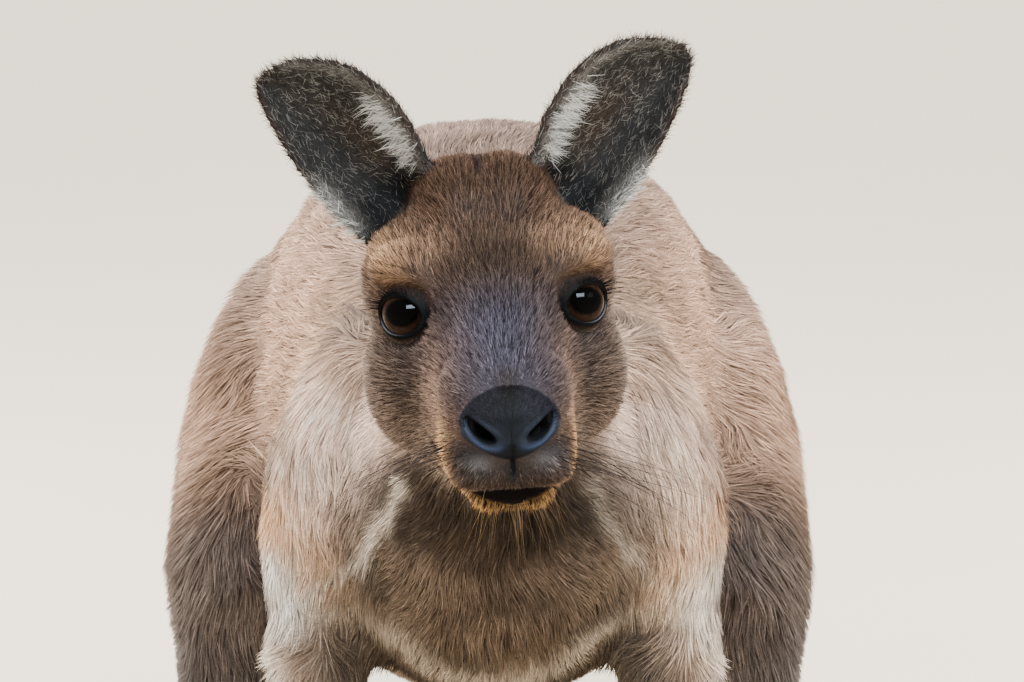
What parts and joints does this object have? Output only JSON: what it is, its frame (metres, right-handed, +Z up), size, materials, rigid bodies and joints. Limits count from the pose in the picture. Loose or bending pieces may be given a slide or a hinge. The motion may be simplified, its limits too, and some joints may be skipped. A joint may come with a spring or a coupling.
{
  "type": "kangaroo",
  "caption": "Life-size still kangaroo crouched on all fours, head raised to look straight ahead, ears up, long tail laid out behind on the floor.",
  "frame": {"origin": "on the floor, under the middle of the animal's box", "axes": "+Z up; the animal faces -Y and its tail points along +Y; +X is its left side"},
  "size_m": [0.396, 1.7742, 0.6228],
  "materials": {
    "coat": "brown grizzled fur, warm on the shoulders and brows, pale on the breast",
    "coat_dark": "short blackish-brown fur of hands, feet and tail end",
    "nose_leather": "bare moist black skin",
    "eye": "wet, dark brown iris and black pupil",
    "horn": "dark horn, satin"
  },
  "bodies": {
    "root": {"chest": "coat", "claw_fifth_toe_left": "horn", "claw_fifth_toe_right": "horn", "claw_finger_1_left": "horn", "claw_finger_1_right": "horn", "claw_finger_2_left": "horn", "claw_finger_2_right": "horn", "claw_finger_3_left": "horn", "claw_finger_3_right": "horn", "claw_finger_4_left": "horn", "claw_finger_4_right": "horn", "claw_finger_5_left": "horn", "claw_finger_5_right": "horn", "claw_fourth_toe_left": "horn", "claw_fourth_toe_right": "horn", "claw_second_toe_left": "horn", "claw_second_toe_right": "horn", "ear_left": "coat", "ear_right": "coat", "eye_left": "eye", "eye_right": "eye", "foot_left": "coat_dark", "foot_right": "coat_dark", "forearm_left": "coat", "forearm_right": "coat", "hand_left": "coat_dark", "hand_right": "coat_dark", "head": "coat", "lower_jaw": "coat", "neck": "coat", "nose": "nose_leather", "shank_left": "coat", "shank_right": "coat", "tail_base": "coat", "tail_middle": "coat", "tail_tip": "coat_dark", "thigh_left": "coat", "thigh_right": "coat", "trunk": "coat", "upper_arm_left": "coat", "upper_arm_right": "coat"}
  },
  "joints": []
}
